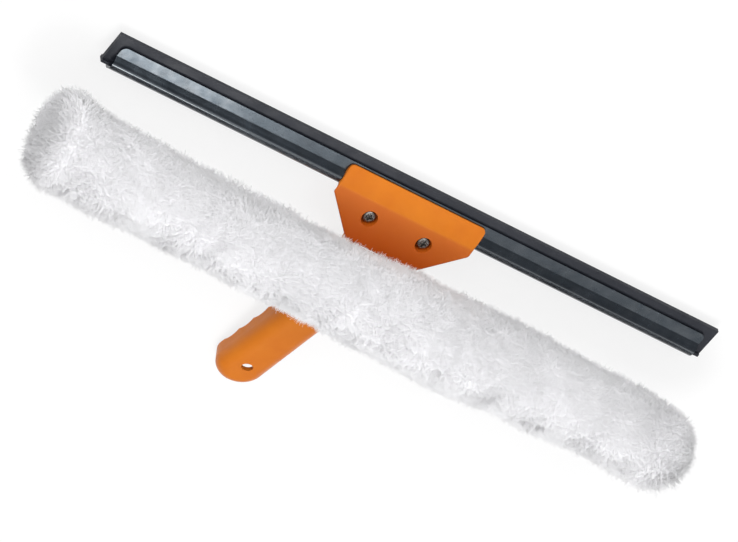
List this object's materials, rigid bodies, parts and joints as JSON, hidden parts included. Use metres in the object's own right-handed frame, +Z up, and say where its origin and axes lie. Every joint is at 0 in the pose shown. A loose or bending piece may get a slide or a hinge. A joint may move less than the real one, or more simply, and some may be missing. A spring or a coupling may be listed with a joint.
{
  "type": "window washer with squeegee",
  "caption": "Hand window washer: a plush sleeve on a cross bar and a rubber squeegee blade clamped in a channel, both on a short moulded grip with a hang hole.",
  "frame": {"origin": "on the table under the middle of the tool's bounding box, the tool lying on its back", "axes": "+X along the blade and the sleeve, +Y from the grip's end to the blade's tip, +Z up from the table through the sleeve"},
  "size_m": [0.377, 0.1694, 0.0672],
  "materials": {
    "orange_plastic": "moulded, semi-gloss",
    "screw_steel": "zinc plated",
    "black_channel": "black anodised, glossy",
    "blade_rubber": "smooth, matt",
    "bar_plastic": "extruded, matt",
    "white_plush": "deep plush pile",
    "tape_fabric": "touch tape"
  },
  "bodies": {
    "handle": {"handle": "orange_plastic", "washer_bar": "bar_plastic", "bar_end_caps": "bar_plastic", "bar_screws": "screw_steel", "washer_sleeve": "white_plush", "loop_strip": "tape_fabric", "hook_strip": "tape_fabric"},
    "clamp_plate": {"clamp_plate": "orange_plastic"},
    "clamp_screw_left": {"clamp_screw_left": "screw_steel"},
    "clamp_screw_right": {"clamp_screw_right": "screw_steel"},
    "blade_channel": {"blade_channel": "black_channel"},
    "rubber_blade": {"rubber_blade": "blade_rubber"}
  },
  "joints": [
    {"name": "clamp_release", "type": "slide", "parent": "handle", "child": "clamp_plate", "axis": [0, 0.1857, 0.9826], "range_m": [0, 0.0026]},
    {"name": "screw_left_turn", "type": "hinge", "parent": "clamp_plate", "child": "clamp_screw_left", "pos_m": [-0.016, 0.05929, 0.0136], "axis": [0, 0.1857, 0.9826], "range_deg": [0, 720]},
    {"name": "screw_right_turn", "type": "hinge", "parent": "clamp_plate", "child": "clamp_screw_right", "pos_m": [0.016, 0.05929, 0.0136], "axis": [0, 0.1857, 0.9826], "range_deg": [0, 720]},
    {"name": "channel_slide", "type": "slide", "parent": "handle", "child": "blade_channel", "axis": [1, 0, 0], "range_m": [-0.13, 0.13]},
    {"name": "blade_slide", "type": "slide", "parent": "blade_channel", "child": "rubber_blade", "axis": [1, 0, 0], "range_m": [-0.3, 0.3]}
  ],
  "couplings": [
    {"joint": "screw_left_turn", "follows": "clamp_release", "rad_per_m": 4833},
    {"joint": "screw_right_turn", "follows": "clamp_release", "rad_per_m": 4833}
  ]
}
